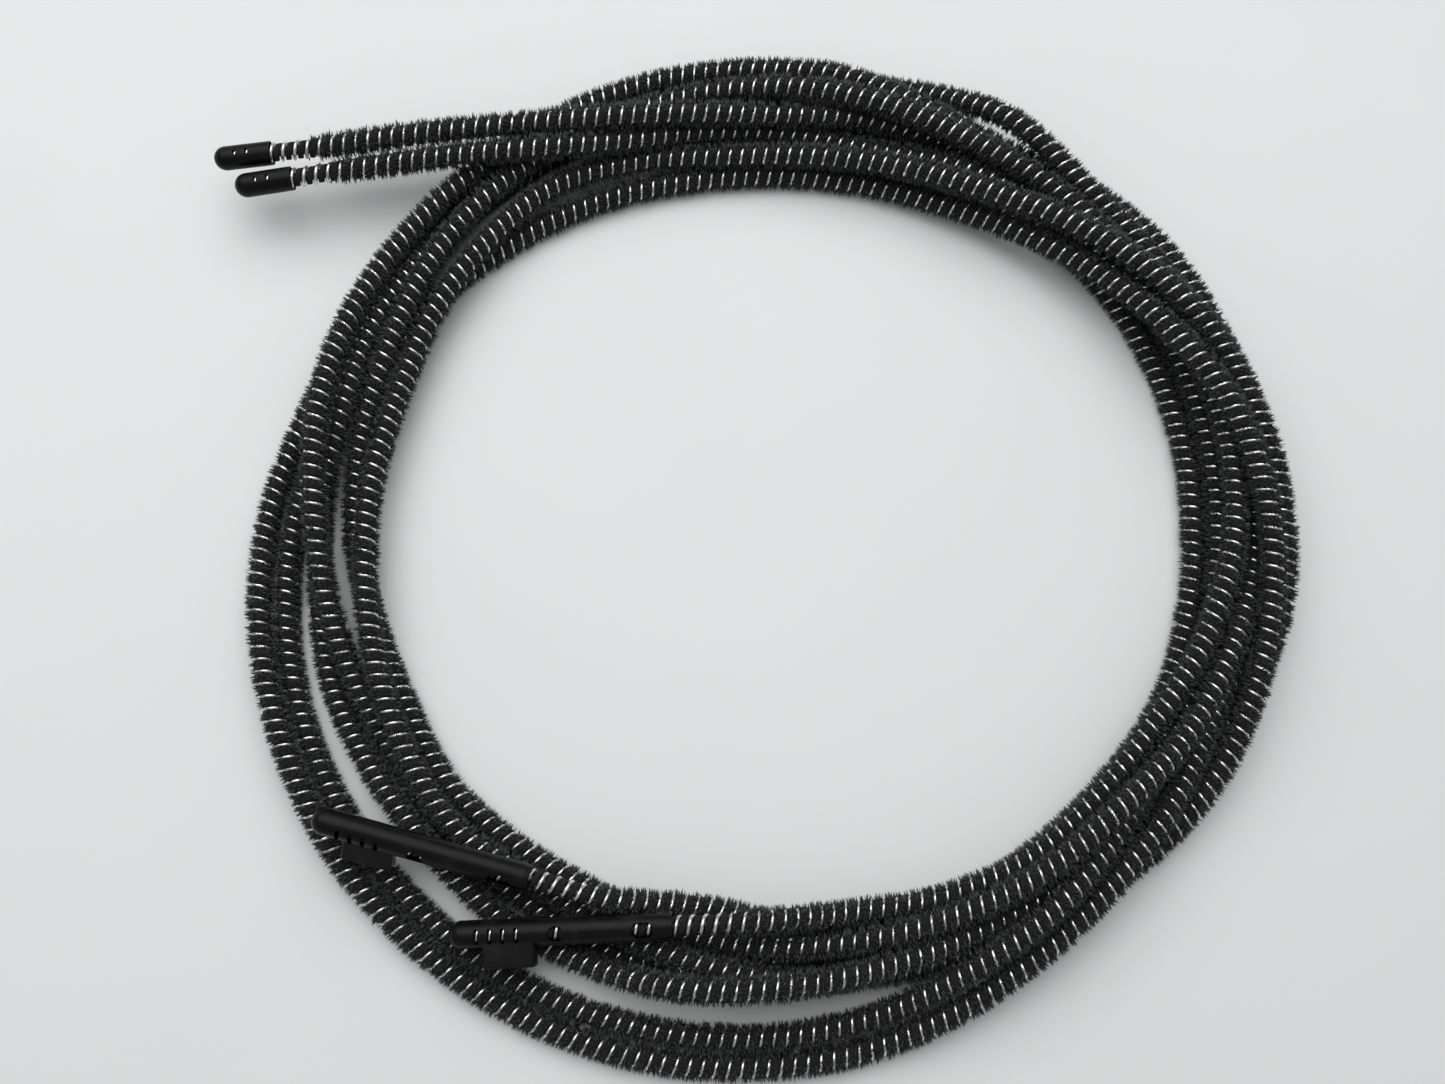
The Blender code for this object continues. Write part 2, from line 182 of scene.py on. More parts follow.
# The route: stations every 20 degrees round the coil, each its radius and its height above the floor.
# Counting starts under the driver sleeves and runs anticlockwise, seen from above.
STATION_STEP = 20
LEFT_CABLE = {
    "nose": (-95.2, -61.0, 14.4),
    "mouth": (-50.0, -73.4, 11.5),
    "roll": 42,
    "crest": 7.55,
    "first_angle": 260,
    "stations": [
        (83.5, 6), (84.5, 3), (88.5, 3), (89.5, 3), (91.0, 3), (92.0, 3),
        (93.5, 3), (94.0, 3), (94.5, 3), (98.5, 3), (102.0, 3), (103.5, 4),
        (102.5, 6), (99.0, 8), (99.5, 4), (100.0, 3), (97.0, 5), (95.0, 7),
        (95.0, 7), (93.0, 6), (93.5, 4), (97.0, 3), (104.5, 3), (107.5, 7),
        (104.0, 11), (96.0, 13), (89.0, 11), (87.5, 7), (89.0, 5), (94.0, 7),
        (91.5, 9), (89.0, 9), (88.5, 9), (90.0, 8), (92.5, 8), (91.0, 7),
        (91.5, 4), (93.0, 3), (97.0, 3), (101.0, 4), (104.5, 9), (103.5, 13),
        (99.0, 12), (91.5, 9), (86.0, 5), (84.5, 3), (85.5, 3), (88.0, 3),
        (92.5, 3), (99.0, 3), (106.0, 3), (109.5, 3), (110.0, 3), (109.0, 3),
        (107.0, 3), (103.0, 4), (97.5, 8), (95.0, 8), (95.0, 7), (96.0, 5),
        (98.0, 5), (99.0, 5), (95.0, 7), (92.5, 8), (92.5, 9), (100.0, 13),
    ],
    "lead_out": [(-61.5, 85.0, 13.5), (-72.5, 84.0, 13.2), (-84.0, 82.5, 12.8)],
    "cap_nose": (-120.0, 77.0, 12.2),
    "cap_mouth": (-107.5, 79.0, 12.4),
}
RIGHT_CABLE = {
    "nose": (-67.5, -84.5, 9.5),
    "mouth": (-22.0, -82.5, 12.5),
    "roll": 0,
    "crest": 6.2,
    "first_angle": 280,
    "stations": [
        (81.5, 8), (86.0, 8), (87.5, 8), (92.0, 8), (97.5, 11), (101.0, 8),
        (100.0, 8), (98.5, 11), (99.5, 13), (102.0, 10), (102.0, 8), (98.5, 8),
        (94.5, 7), (92.0, 3), (88.0, 3), (89.5, 3), (92.0, 4), (89.5, 6),
        (88.0, 8), (89.5, 11), (92.0, 13), (97.5, 11), (103.0, 8), (103.0, 7),
        (103.5, 8), (103.0, 9), (106.0, 6), (108.0, 4), (107.0, 3), (105.5, 3),
        (106.0, 3), (111.0, 3), (113.0, 5), (114.5, 4), (114.0, 3), (112.0, 3),
        (109.0, 4), (103.0, 8), (99.0, 8), (101.0, 4), (106.5, 3), (109.5, 3),
        (108.0, 5), (103.0, 6), (105.0, 11), (107.5, 8), (107.0, 8), (106.0, 8),
        (102.5, 9), (98.5, 10), (96.0, 6), (93.5, 3), (92.5, 3), (90.0, 3),
        (89.5, 3), (92.0, 3), (93.5, 3), (98.0, 3), (101.5, 3), (103.0, 3),
        (103.5, 3), (99.5, 5), (95.5, 8), (95.5, 11), (105.5, 14),
    ],
    "lead_out": [(-59.5, 91.0, 13.5), (-73.5, 90.0, 13.2), (-87.5, 88.5, 12.8)],
    "cap_nose": (-125.0, 83.5, 12.2),
    "cap_mouth": (-112.5, 85.0, 12.4),
}
CABLES = {"left": LEFT_CABLE, "right": RIGHT_CABLE}

# ---------------------------------------------------------------- route


def heading(start, end):
    line = np.subtract(end, start).astype(float)
    return line / np.linalg.norm(line)


def straight_run(nose, mouth, length, bare_run):
    """The nose tip, the mouth and the end of the bare turns of a fitting, on one line."""
    along = heading(nose, mouth)
    return [np.array(nose) + along * step for step in (0.0, length, length + bare_run)]


def route_points(cable):
    """The given points between the bare turns at the sleeve and those at the cap."""
    sleeve = straight_run(cable["nose"], cable["mouth"], SLEEVE_LENGTH, SLEEVE_BARE_RUN)
    cap = straight_run(cable["cap_nose"], cable["cap_mouth"], CAP_LENGTH, CAP_BARE_RUN)
    coil = []
    for count, (radius, height) in enumerate(cable["stations"]):
        angle = math.radians(cable["first_angle"] + STATION_STEP * count)
        coil.append((radius * math.cos(angle), radius * math.sin(angle), height))
    return sleeve, coil + list(cable["lead_out"]), cap


def smooth_curve(points, spacing):
    """Points at even spacing along the cubic curve through the given points."""
    points = np.asarray(points, float)
    lengths = np.linalg.norm(np.diff(points, axis=0), axis=1)
    slopes = np.diff(points, axis=0) / lengths[:, None]
    before, after = lengths[:-1, None], lengths[1:, None]
    inner = (slopes[:-1] * after + slopes[1:] * before) / (before + after)
    tangents = np.concatenate([slopes[:1], inner, slopes[-1:]])
    fine = []
    for index, length in enumerate(lengths):
        u = np.linspace(0, 1, max(2, int(length / SPLINE_STEP)), endpoint=False)[:, None]
        fine.append(
            (2 * u**3 - 3 * u**2 + 1) * points[index]
            + (u**3 - 2 * u**2 + u) * length * tangents[index]
            + (3 * u**2 - 2 * u**3) * points[index + 1]
            + (u**3 - u**2) * length * tangents[index + 1]
        )
    fine = np.concatenate(fine + [points[-1:]])
    run = np.concatenate([[0], np.cumsum(np.linalg.norm(np.diff(fine, axis=0), axis=1))])
    even = np.linspace(0, run[-1], round(run[-1] / spacing) + 1)
    return np.stack([np.interp(even, run, fine[:, axis]) for axis in range(3)], axis=1)


def laid_line(cable):
    """Nose tip, mouth, the evenly spaced free length, cap mouth and cap tip, before it settles."""
    sleeve, coil, cap = route_points(cable)
    # The mouths lend the curve its direction, and are cut off again with the straight bare turns.
    curve = smooth_curve([sleeve[1], sleeve[2]] + coil + [cap[2], cap[1]], SPLINE_STEP)
    first = np.argmin(np.linalg.norm(curve - sleeve[2], axis=1))
    last = np.argmin(np.linalg.norm(curve - cap[2], axis=1))
    free = smooth_curve(curve[first : last + 1], TUBE_SPACING)
    return np.concatenate([[sleeve[0], sleeve[1]], free, [cap[1], cap[0]]])


def nearest(start_a, end_a, start_b, end_b):
    """Where two sets of segments come closest: the share along each, and the vector from b to a."""
    along_a, along_b, between = end_a - start_a, end_b - start_b, start_a - start_b
    aa = (along_a * along_a).sum(1)
    ab = (along_a * along_b).sum(1)
    bb = (along_b * along_b).sum(1)
    ad = (along_a * between).sum(1)
    bd = (along_b * between).sum(1)
    share_a = np.clip((ab * bd - bb * ad) / np.maximum(aa * bb - ab * ab, 1e-6), 0, 1)
    share_b = np.clip((ab * share_a + bd) / bb, 0, 1)
    share_a = np.clip((ab * share_b - ad) / aa, 0, 1)
    apart = between + share_a[:, None] * along_a - share_b[:, None] * along_b
    return share_a, share_b, apart


def settle(lines):
    """Lets the cables sink on to the floor and on to each other, with no two strands touching."""
    points = np.concatenate(lines)
    laid = points.copy()
    owner = np.repeat(np.arange(len(lines)), [len(line) for line in lines])
    order = np.concatenate([np.arange(len(line)) for line in lines])
    last = np.array([len(line) for line in lines])[owner] - 1
    fixed = (order <= 2) | (order >= last - 2)
    free = np.where(fixed, 0.0, 1.0)[:, None]
    thick = np.where((order == 0), SLEEVE_DIAMETER, PILE_DIAMETER) / 2
    thick = np.where(order == last - 1, CAP_DIAMETER / 2, thick)
    starts = np.nonzero(owner[:-1] == owner[1:])[0]
    inner = np.nonzero(owner[:-2] == owner[2:])[0] + 1
    a, b = np.triu_indices(len(starts), 1)
    a, b = starts[a], starts[b]
    middle = np.zeros_like(points)
    middle[starts] = (points[starts] + points[starts + 1]) / 2
    far = (owner[a] != owner[b]) | (abs(order[a] - order[b]) > OWN_NEIGHBOURS)
    far &= np.linalg.norm(middle[a] - middle[b], axis=1) < REACH
    a, b = a[far], b[far]
    needed = thick[a] + thick[b] + GAP
    for step in range(SETTLE_STEPS):
        share_a, share_b, apart = nearest(points[a], points[a + 1], points[b], points[b + 1])
        distance = np.maximum(np.linalg.norm(apart, axis=1), 1e-6)
        push = apart * (SHARE * np.clip(needed - distance, 0, None) / distance)[:, None]
        move = np.zeros_like(points)
        np.add.at(move, a, push * (1 - share_a)[:, None])
        np.add.at(move, a + 1, push * share_a[:, None])
        np.add.at(move, b, -push * (1 - share_b)[:, None])
        np.add.at(move, b + 1, -push * share_b[:, None])
        points += np.clip(move, -1, 1) * free
        if step < SETTLE_STEPS * SETTLE_FREE:
            shift = points - laid
            bend = np.zeros_like(points)
            bend[inner] = (shift[inner - 1] + shift[inner + 1]) / 2 - shift[inner]
            points += STIFFNESS * bend * free
            points[:, :2] -= SIDE_HOLD * shift[:, :2] * free
            points[:, 2:] -= SINK * free
        points[:, 2] = np.maximum(points[:, 2], PILE_DIAMETER / 2)
    return np.split(points, np.cumsum([len(line) for line in lines])[:-1])


# ---------------------------------------------------------------- middle line


def carried(along, first):
    """A cross direction at each point of a line, carried from the first with no twist."""
    sides = [first]
    for direction in along[1:]:
        side = sides[-1] - direction * (sides[-1] @ direction)
        sides.append(side / np.linalg.norm(side))
    return np.array(sides)


def level_side(direction):
    """The level direction on the lug's side of a fitting."""
    side = np.array([direction[1], -direction[0], 0.0])
    return side / np.linalg.norm(side)


class MiddleLine:
    """A cable's smooth middle line in the frame, with cross directions and the rack wire's turning."""

    def __init__(self, line, shift, roll, crest):
        self.points = smooth_curve(line, SPLINE_STEP) + shift
        steps = np.linalg.norm(np.diff(self.points, axis=0), axis=1)
        self.runs = np.concatenate([[0], np.cumsum(steps)])
        self.length = self.runs[-1]
        along = np.gradient(self.points, axis=0)
        self.along = along / np.linalg.norm(along, axis=1)[:, None]
        side = level_side(self.along[0])
        down = np.cross(self.along[0], side)
        roll = math.radians(roll)
        self.sides = carried(self.along, side * math.cos(roll) + down * math.sin(roll))
        self.downs = np.cross(self.along, self.sides)
        self.crest = crest
        self.crest_angle = math.radians(WINDOW_TILT - 90)
        self.lead = self.fitted_lead()

    def fitted_lead(self):
        """The lead nearest to RACK_LEAD that brings a turn under the cap's first window."""
        up = np.array([0, 0, 1.0])
        cap_angle = math.atan2(up @ self.downs[-1], up @ self.sides[-1])
        distance = self.length - CAP_WINDOWS[0] - self.crest
        part_turn = (self.crest_angle - cap_angle) / (2 * math.pi)
        turns = round(distance / RACK_LEAD - part_turn) + part_turn
        return distance / turns

    def read(self, values, run):
        return np.stack([np.interp(run, self.runs, values[:, axis]) for axis in range(3)], axis=-1)

    def place(self, run, angle, radius):
        """Points in the frame, in metres, from runs, angles and radii of one shape."""
        run, angle, radius = np.broadcast_arrays(run, angle, radius)
        across = self.read(self.sides, run) * np.cos(angle)[..., None]
        across += self.read(self.downs, run) * np.sin(angle)[..., None]
        return (self.read(self.points, run) + across * radius[..., None]) * MM

    def wire_angle(self, run):
        """Where the left-handed rack wire is, round the middle line."""
        return self.crest_angle - 2 * math.pi * (run - self.crest) / self.lead

    def pile_height(self, run):
        """From 0 along the fittings and the bare turns to 1 where the pile is full."""
        from_sleeve = (run - SLEEVE_LENGTH - SLEEVE_BARE_RUN + PILE_RISE) / PILE_RISE
        from_cap = (self.length - run - CAP_LENGTH - CAP_BARE_RUN + PILE_RISE) / PILE_RISE
        share = np.clip(np.minimum(from_sleeve, from_cap), 0, 1)
        return share * share * (3 - 2 * share)


# ---------------------------------------------------------------- meshes


def add_piece(name, mesh, finish):
    """A smooth-shaded piece of the object, in one finish."""
    mesh.materials.clear()
    mesh.materials.append(finish)
    mesh.shade_smooth()
    piece = bpy.data.objects.new(name, mesh)
    bpy.context.scene.collection.objects.link(piece)
    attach(piece, "root")
    return piece


def ring_mesh(name, rings, map_rows):
    """A closed bar through rings of points. Its bake map lays the bar out in rows."""
    count, sides = rings.shape[:2]
    rings = rings.copy()
    rings[..., 2] = np.maximum(rings[..., 2], FLOOR_CLEAR * MM)
    ring, side = np.meshgrid(np.arange(count - 1), np.arange(sides), indexing="ij")
    near, far = ring * sides, (ring + 1) * sides
    after = (side + 1) % sides
    quads = np.stack([near + side, near + after, far + after, far + side], axis=-1).reshape(-1, 4)
    ends = [list(range(sides))[::-1], list(range((count - 1) * sides, count * sides))]
    mesh = bpy.data.meshes.new(name)
    mesh.from_pydata(rings.reshape(-1, 3).tolist(), [], quads.tolist() + ends)
    columns = math.ceil((count - 1) / map_rows)
    across = ring % columns
    up = (ring // columns) + side / sides
    cells = [(across, up), (across, up + 1 / sides), (across + 1, up + 1 / sides), (across + 1, up)]
    corners = np.stack([np.stack([x / columns, y / map_rows], axis=-1) for x, y in cells], axis=-2)
    lay_out(mesh, corners.reshape(-1, 2))
    return mesh


def lay_out(mesh, corners):
    """Sets the bake map's first corners, and leaves the rest of the map's corners at its middle."""
    layer = mesh.uv_layers.new(name="OFBake")
    places = np.full((len(mesh.loops), 2), 0.5)
    places[: len(corners)] = corners
    layer.data.foreach_set("uv", places.ravel())


def graded_runs(line, first, last):
    """Runs with more rings to a turn near the fittings, where the wire is bare."""
    sleeve_end = SLEEVE_LENGTH + SLEEVE_BARE_RUN
    cap_start = line.length - CAP_LENGTH - CAP_BARE_RUN
    fine, coarse = line.lead / FINE_RINGS, line.lead / RINGS
    return np.concatenate([
        np.arange(first, sleeve_end, fine),
        np.arange(sleeve_end, cap_start, coarse),
        np.arange(cap_start, last, fine),
    ])


def rack_wire(side, line, finish):
    """The round wire, wound as a left-handed rack from inside the sleeve to inside the cap."""
    runs = graded_runs(line, SLEEVE_NOSE_WALL + GAP, line.length - CAP_NOSE_WALL - GAP)
    turn = np.linspace(0, 2 * math.pi, WIRE_SIDES, endpoint=False)
    steps = RACK_WIRE / 2 * np.cos(turn)
    radii = (RACK_DIAMETER - RACK_WIRE) / 2 + RACK_WIRE / 2 * np.sin(turn)
    rings = line.place(runs[:, None] + steps, line.wire_angle(runs)[:, None], radii)
    name = f"{side}_rack_wire"
    return add_piece(name, ring_mesh(name, rings, MAP_ROWS), finish)


def core_strand(side, line, finish):
    """The twisted strand that the rack wire is wound on: round wires laid about a middle one."""
    first, last = SLEEVE_NOSE_WALL + GAP, line.length - CAP_NOSE_WALL - GAP
    runs = np.arange(first, last, CORE_STEP)
    corners = 2 * CORE_WIRES
    around = np.linspace(0, 2 * math.pi, corners, endpoint=False)
    radii = CORE_DIAMETER / 2 * np.where(np.arange(corners) % 2, 1.0, CORE_VALLEY)
    angles = around + 2 * math.pi * runs[:, None] / CORE_LAY
    rings = line.place(runs[:, None], angles, radii)
    name = f"{side}_stranded_core"
    return add_piece(name, ring_mesh(name, rings, CORE_MAP_ROWS), finish)


def pile_yarn(side, line, finish):
    """The body of the pile yarn, wound in the groove between the wire's turns."""
    last = line.length - CAP_NOSE_WALL - line.lead
    runs = np.arange(SLEEVE_NOSE_WALL + line.lead, last, line.lead / RINGS)
    root_side = YARN_ROOT_WIDTH / 2
    section = np.array(YARN_SECTION + ((root_side, YARN_ROOT), (-root_side, YARN_ROOT)))
    height = line.pile_height(runs)[:, None]
    radii = YARN_ROOT + (section[:, 1] - YARN_ROOT) * (BARE_YARN_RISE + (1 - BARE_YARN_RISE) * height)
    steps = section[:, 0] * (BARE_YARN_WIDTH + (1 - BARE_YARN_WIDTH) * height)
    angle = line.wire_angle(runs)[:, None] + math.pi
    rings = line.place(runs[:, None] + steps, angle, radii)
    name = f"{side}_pile_yarn"
    return add_piece(name, ring_mesh(name, rings, MAP_ROWS), finish)


def bristle_runs(line, rng):
    """Tuft places along the groove, thinned out towards the bare turns."""
    first = SLEEVE_LENGTH + BRISTLE_MARGIN
    last = line.length - CAP_LENGTH - BRISTLE_MARGIN
    count = int((last - first) / line.lead * TUFTS_A_TURN)
    runs = np.sort(rng.uniform(first, last, count))
    return runs[rng.uniform(0, 1, count) < line.pile_height(runs)]


def bristle_mesh(name, roots, tips, widths, tones):
    """Closed three-sided spikes, with the tone, and the height that the finish turns into painted shade
    and light.
    """
    count = len(roots)
    aim = tips - roots
    aim /= np.linalg.norm(aim, axis=1)[:, None]
    across = np.cross(aim, SKEW)
    across /= np.linalg.norm(across, axis=1)[:, None]
    other = np.cross(aim, across)
    points = np.empty((count, 4, 3))
    for corner in range(3):
        turn = 2 * math.pi * corner / 3
        points[:, corner] = roots + (across * math.cos(turn) + other * math.sin(turn)) * widths[:, None]
    points[:, 3] = tips
    points[..., 2] = np.maximum(points[..., 2], FLOOR_CLEAR * MM)
    faces = np.array([(0, 2, 1), (0, 1, 3), (1, 2, 3), (2, 0, 3)])
    faces = (faces[None] + 4 * np.arange(count)[:, None, None]).reshape(-1, 3)
    mesh = bpy.data.meshes.new(name)
    mesh.from_pydata(points.reshape(-1, 3).tolist(), [], faces.tolist())
    for key, values in (("height", np.tile([0, 0, 0, 1.0], count)), ("tone", np.repeat(tones, 4))):
        mesh.attributes.new(key, "FLOAT", "POINT").data.foreach_set("value", values)
    columns = math.ceil(math.sqrt(count))
    cell = np.arange(count)
    corners = (np.stack([cell % columns, cell // columns], axis=1)[:, None] + BRISTLE_MAP) / columns
    lay_out(mesh, corners.reshape(-1, 2)[faces.ravel()])
    return mesh


def bristles(side, line, rng, finish):
    """Tufts of fine spikes that fan out of the groove and partly over the wire."""
    tufts = np.repeat(bristle_runs(line, rng), BRISTLES_A_TUFT)
    count = len(tufts)
    angle = line.wire_angle(tufts) + math.pi
    tuft_count = count // BRISTLES_A_TUFT
    shared = [
        np.repeat(rng.normal(0, spread, tuft_count), BRISTLES_A_TUFT)
        for spread in (TUFT_LEAN, TUFT_LEAN / BRISTLE_TIP, BRISTLE_TIP_SPREAD)
    ]
    lean, swirl, tall = shared
    tuft_step = np.repeat(rng.uniform(-GROOVE_REACH, GROOVE_REACH, tuft_count), BRISTLES_A_TUFT)
    tuft_tone = np.repeat(rng.uniform(0, 1, tuft_count), BRISTLES_A_TUFT)
    step = rng.normal(0, TUFT_SPREAD, count)
    turn = rng.normal(0, TUFT_SPREAD / BRISTLE_ROOT, count)
    full = 0.5 + 0.5 * line.pile_height(tufts)
    roots = line.place(tufts + tuft_step + step, angle + turn, BRISTLE_ROOT)
    splay = SPLAY * tuft_step / GROOVE_REACH
    reach = BRISTLE_TIP + tall + rng.normal(0, BRISTLE_TIP_SPREAD, count) - BRISTLE_ROOT
    tips = line.place(
        tufts + tuft_step + step * TUFT_GATHER + (splay + lean) * full,
        angle + turn * TUFT_GATHER + swirl,
        BRISTLE_ROOT + reach * full,
    )
    widths = BRISTLE_WIDTH * MM * rng.uniform(*BRISTLE_WIDTH_RANGE, count)
    tones = TUFT_TONE * tuft_tone + (1 - TUFT_TONE) * rng.uniform(0, 1, count)
    made = []
    for number, part in enumerate(np.array_split(np.arange(count), BRISTLE_PIECES), 1):
        name = f"{side}_bristles_{number}"
        mesh = bristle_mesh(name, roots[part], tips[part], widths[part], tones[part])
        made.append(add_piece(name, mesh, finish))
    return made


# ---------------------------------------------------------------- moulded fittings


def fitting_matrix(nose, along, roll=0):
    """Local Z runs from the nose to the mouth, and local X points to the lug's side."""
    z_axis = Vector(along).normalized()
    x_axis = Vector(level_side(z_axis))
    y_axis = z_axis.cross(x_axis)
    matrix = Matrix((x_axis, y_axis, z_axis)).transposed().to_4x4()
    matrix.translation = Vector(nose) * MM
    return matrix @ Matrix.Rotation(math.radians(roll), 4, "Z")


def add_shape(name, shape):
    mesh = bpy.data.meshes.new(name)
    shape.to_mesh(mesh)
    shape.free()
    made = bpy.data.objects.new(name, mesh)
    bpy.context.scene.collection.objects.link(made)
    return made


def turned(name, profile):
    """A solid of revolution about Z from (radius, height) points, from its top down its outside."""
    shape = bmesh.new()
    corners = [shape.verts.new((radius * MM, 0, height * MM)) for radius, height in profile]
    for one, other in zip(corners, corners[1:]):
        shape.edges.new((one, other))
    made = add_shape(name, shape)
    screw = made.modifiers.new("turn", "SCREW")
    screw.steps = MOULDING_SIDES
    screw.render_steps = MOULDING_SIDES
    screw.use_merge_vertices = True
    screw.merge_threshold = WELD * MM
    return made


def nose_profile(radius):
    steps = [math.radians(90 * step / NOSE_STEPS) for step in range(NOSE_STEPS + 1)]
    return [(radius * math.cos(turn), radius - radius * math.sin(turn)) for turn in steps]


def bore_cutter(radius, start, end):
    shape = bmesh.new()
    place = Matrix.Translation((0, 0, (start + end) / 2 * MM))
    place = place @ Matrix.Rotation(math.pi / MOULDING_SIDES, 4, "Z")
    bmesh.ops.create_cone(
        shape, cap_ends=True, segments=MOULDING_SIDES, radius1=radius * MM, radius2=radius * MM,
        depth=(end - start) * MM, matrix=place,
    )
    return add_shape("bore", shape)


def window_cutter(place, length, width, tilt, radius):
    """A round-cornered punch through the upper wall, turned by the tilt towards the lug's side."""
    shape = bmesh.new()
    size = Matrix.Diagonal((width * MM, radius * MM, length * MM, 1))
    bmesh.ops.create_cube(shape, size=1.0, matrix=Matrix.Translation((0, -radius * MM, place * MM)) @ size)
    upright = [
        edge for edge in shape.edges
        if abs(edge.verts[0].co.y - edge.verts[1].co.y) > radius * MM / 2
    ]
    rounding = min(width, length) / 2 * MM * WINDOW_ROUNDING
    bmesh.ops.bevel(
        shape, geom=upright, offset=rounding, segments=WINDOW_STEPS, affect="EDGES", profile=0.5,
        clamp_overlap=True,
    )
    bmesh.ops.transform(shape, matrix=Matrix.Rotation(math.radians(tilt), 4, "Z"), verts=shape.verts)
    return add_shape("window", shape)


def lug_block():
    """The side lug, a round-edged block from the axis outwards."""
    reach = SLEEVE_DIAMETER / 2 + LUG_PROUD
    shape = bmesh.new()
    size = Matrix.Diagonal((reach * MM, LUG_THICKNESS * MM, LUG_LENGTH * MM, 1))
    centre = Matrix.Translation((reach / 2 * MM, 0, (LUG_START + LUG_LENGTH / 2) * MM))
    bmesh.ops.create_cube(shape, size=1.0, matrix=centre @ size)
    bmesh.ops.bevel(
        shape, geom=shape.edges[:], offset=LUG_ROUNDING * MM, segments=LUG_STEPS, affect="EDGES",
        profile=0.5,
    )
    return add_shape("lug", shape)


def evaluated(thing):
    bpy.context.view_layer.update()
    return bpy.data.meshes.new_from_object(thing.evaluated_get(bpy.context.evaluated_depsgraph_get()))


def moulded(name, blank, joined, cutters, matrix, finish):
    """The blank with pieces joined and cut out, its edges rounded, as one plain mesh."""
    for operation, others in (("UNION", joined), ("DIFFERENCE", cutters)):
        for other in others:
            modifier = blank.modifiers.new(operation, "BOOLEAN")
            modifier.operation = operation
            modifier.solver = "EXACT"
            modifier.object = other
    rounding = blank.modifiers.new("edges", "BEVEL")
    rounding.width = EDGE_ROUNDING * MM
    rounding.segments = EDGE_STEPS
    rounding.limit_method = "ANGLE"
    rounding.angle_limit = math.radians(EDGE_ANGLE)
    mesh = evaluated(blank)
    for helper in (blank, *joined, *cutters):
        bpy.data.objects.remove(helper)
    mesh.shade_smooth()
    mesh.set_sharp_from_angle(angle=math.radians(SHARP_ANGLE))
    rounded = bpy.data.objects.new("rounded", mesh)
    bpy.context.scene.collection.objects.link(rounded)
    rounded.modifiers.new("flat faces", "WEIGHTED_NORMAL").keep_sharp = True
    mesh = evaluated(rounded)
    bpy.data.objects.remove(rounded)
    mesh.name = name
    mesh.transform(matrix)
    return add_piece(name, mesh, finish)


def driver_sleeve(side, matrix, finish):
    """The long moulding with the lug, its nose closed and its openings over the wire."""
    radius = SLEEVE_DIAMETER / 2
    shoulder = SLEEVE_LENGTH - COLLAR_LENGTH
    profile = [
        (0, SLEEVE_LENGTH),
        (COLLAR_DIAMETER / 2, SLEEVE_LENGTH),
        (COLLAR_DIAMETER / 2, shoulder),
        (radius, shoulder),
    ]
    blank = turned("blank", profile + nose_profile(radius))
    openings = [(place, CREST_WINDOW_LENGTH) for place in CREST_WINDOWS] + [ROUND_WINDOW, OVAL_WINDOW]
    cutters = [
        window_cutter(place, length, WINDOW_WIDTH, WINDOW_TILT, radius) for place, length in openings
    ]
    cutters.append(bore_cutter(SLEEVE_BORE / 2, SLEEVE_NOSE_WALL, SLEEVE_LENGTH + OVERSHOOT))
    return moulded(f"{side}_moulded_sleeve", blank, [lug_block()], cutters, matrix, finish)


def end_cap(side, matrix, finish):
    """The short bullet-shaped moulding over the cable's far end."""
    radius = CAP_DIAMETER / 2
    blank = turned("blank", [(0, CAP_LENGTH), (radius, CAP_LENGTH)] + nose_profile(radius))
    cutters = [
        window_cutter(place, CAP_WINDOW_LENGTH, CAP_WINDOW_WIDTH, 0, radius) for place in CAP_WINDOWS
    ]
    cutters.append(bore_cutter(CAP_BORE / 2, CAP_NOSE_WALL, CAP_LENGTH + OVERSHOOT))
    return moulded(f"{side}_bullet_cap", blank, [], cutters, matrix, finish)


# ---------------------------------------------------------------- finishes


class Value:
    """A socket's value. Arithmetic on it adds Math nodes to its finish."""

    def __init__(self, finish, socket):
        self.finish = finish
        self.socket = socket

    def maths(self, operation, first, second):
        return self.finish.add("ShaderNodeMath", {"operation": operation}, {0: first, 1: second})

    def __add__(self, other):
        return self.maths("ADD", self, other)

    def __radd__(self, other):
        return self.maths("ADD", other, self)

    def __mul__(self, other):
        return self.maths("MULTIPLY", self, other)

    def __rmul__(self, other):
        return self.maths("MULTIPLY", other, self)


